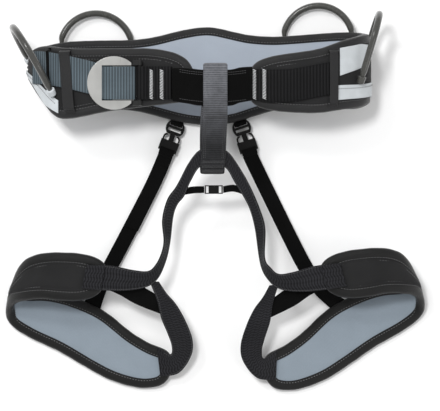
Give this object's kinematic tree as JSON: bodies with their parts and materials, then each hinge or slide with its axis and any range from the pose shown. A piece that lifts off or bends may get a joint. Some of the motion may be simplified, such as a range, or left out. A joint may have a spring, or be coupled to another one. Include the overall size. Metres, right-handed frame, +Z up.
{
  "type": "climbing harness",
  "caption": "Climbing sit harness with padded waist belt, quick buckle, belay loop, gear loops and padded leg loops, opened out flat.",
  "frame": {"origin": "on the surface the harness lies on, under the middle of its overall box", "axes": "+X from hip to hip, +Y from the leg loops to the waist belt, +Z up from the surface"},
  "size_m": [0.5021, 0.4628, 0.1229],
  "materials": {
    "lining": "fine woven lining",
    "foam": "closed-cell foam",
    "cover": "woven nylon",
    "binding": "rolled edge tape",
    "side_panel": "coated fabric",
    "webbing": "ribbed webbing",
    "strap": "ribbed webbing",
    "buckle": "brushed",
    "gear_loop": "smooth tube",
    "belay_loop": "heavy ribbed webbing",
    "clip": "moulded",
    "elastic": "ribbed elastic",
    "riser": "ribbed webbing"
  },
  "bodies": {
    "harness": {"waist_lining": "lining", "waist_foam": "foam", "waist_core_webbing": "webbing", "waist_cover": "cover", "waist_binding": "binding", "side_panel_left": "side_panel", "side_panel_right": "side_panel", "side_patch_right": "side_panel", "lumbar_patch": "lining", "tie_in_sleeve": "webbing", "tie_in_webbing": "webbing", "buckle_webbing": "webbing", "right_front_webbing": "webbing", "waist_strap": "strap", "keeper_left": "binding", "keeper_left_side": "binding", "keeper_right": "binding", "buckle_slider": "buckle", "loop_sleeves_front_left": "side_panel", "loop_sleeves_front_right": "side_panel", "loop_sleeves_rear_left": "cover", "loop_sleeves_rear_right": "cover", "belay_loop": "belay_loop", "leg_bridge": "webbing", "crotch_strap_left": "elastic", "crotch_strap_right": "elastic", "crotch_buckle": "clip", "leg_lining_left": "lining", "leg_foam_left": "foam", "leg_cover_left": "cover", "leg_binding_left": "binding", "leg_inner_webbing_left": "webbing", "leg_elastic_left": "elastic", "leg_lining_right": "lining", "leg_foam_right": "foam", "leg_cover_right": "cover", "leg_binding_right": "binding", "leg_inner_webbing_right": "webbing", "leg_elastic_right": "elastic", "riser_tab_left": "riser", "clip_plug_left": "clip", "clip_socket_left": "clip", "riser_strap_left": "riser", "riser_tab_right": "riser", "clip_plug_right": "clip", "clip_socket_right": "clip", "riser_strap_right": "riser"},
    "waist_buckle": {"buckle_frame": "buckle", "buckle_bar": "buckle"},
    "gear_loop_front_left": {"gear_loop_front_left": "gear_loop"},
    "gear_loop_front_right": {"gear_loop_front_right": "gear_loop"},
    "gear_loop_rear_left": {"gear_loop_rear_left": "gear_loop"},
    "gear_loop_rear_right": {"gear_loop_rear_right": "gear_loop"},
    "clip_arm_a_left": {"clip_arm_a_left": "clip"},
    "clip_arm_b_left": {"clip_arm_b_left": "clip"},
    "clip_arm_a_right": {"clip_arm_a_right": "clip"},
    "clip_arm_b_right": {"clip_arm_b_right": "clip"}
  },
  "joints": [
    {"name": "gear_loop_rear_left_swing", "type": "hinge", "parent": "harness", "child": "gear_loop_rear_left", "pos_m": [-0.14291, 0.175, 0.00972], "axis": [-0.9941, 0, 0.1083], "range_deg": [0, 170]},
    {"name": "gear_loop_rear_right_swing", "type": "hinge", "parent": "harness", "child": "gear_loop_rear_right", "pos_m": [0.12229, 0.184, 0.0116], "axis": [-0.9842, 0, -0.1769], "range_deg": [0, 170]},
    {"name": "gear_loop_front_left_flex", "type": "hinge", "parent": "harness", "child": "gear_loop_front_left", "pos_m": [-0.20363, 0.13975, 0.0587], "axis": [0.4007, -0.5067, 0.7634], "range_deg": [0, 7], "stiffness_Nm_per_rad": 0.05},
    {"name": "gear_loop_front_right_flex", "type": "hinge", "parent": "harness", "child": "gear_loop_front_right", "pos_m": [0.16991, 0.1405, 0.05467], "axis": [0.0861, 0.2467, -0.9653], "range_deg": [0, 7], "stiffness_Nm_per_rad": 0.05},
    {"name": "waist_buckle_tilt", "type": "hinge", "parent": "harness", "child": "waist_buckle", "pos_m": [-0.0865, 0.131, 0.1012], "axis": [0, 1, 0], "range_deg": [0, 25]},
    {"name": "clip_arm_a_left_press", "type": "hinge", "parent": "harness", "child": "clip_arm_a_left", "pos_m": [-0.04505, 0.07324, 0.009], "axis": [0, 0, -1], "range_deg": [0, 6], "stiffness_Nm_per_rad": 0.02},
    {"name": "clip_arm_b_left_press", "type": "hinge", "parent": "harness", "child": "clip_arm_b_left", "pos_m": [-0.05746, 0.07775, 0.009], "axis": [0, 0, 1], "range_deg": [0, 6], "stiffness_Nm_per_rad": 0.02},
    {"name": "clip_arm_a_right_press", "type": "hinge", "parent": "harness", "child": "clip_arm_a_right", "pos_m": [0.0402, 0.07789, 0.009], "axis": [0, 0, -1], "range_deg": [0, 6], "stiffness_Nm_per_rad": 0.02},
    {"name": "clip_arm_b_right_press", "type": "hinge", "parent": "harness", "child": "clip_arm_b_right", "pos_m": [0.02765, 0.07381, 0.009], "axis": [0, 0, 1], "range_deg": [0, 6], "stiffness_Nm_per_rad": 0.02}
  ]
}
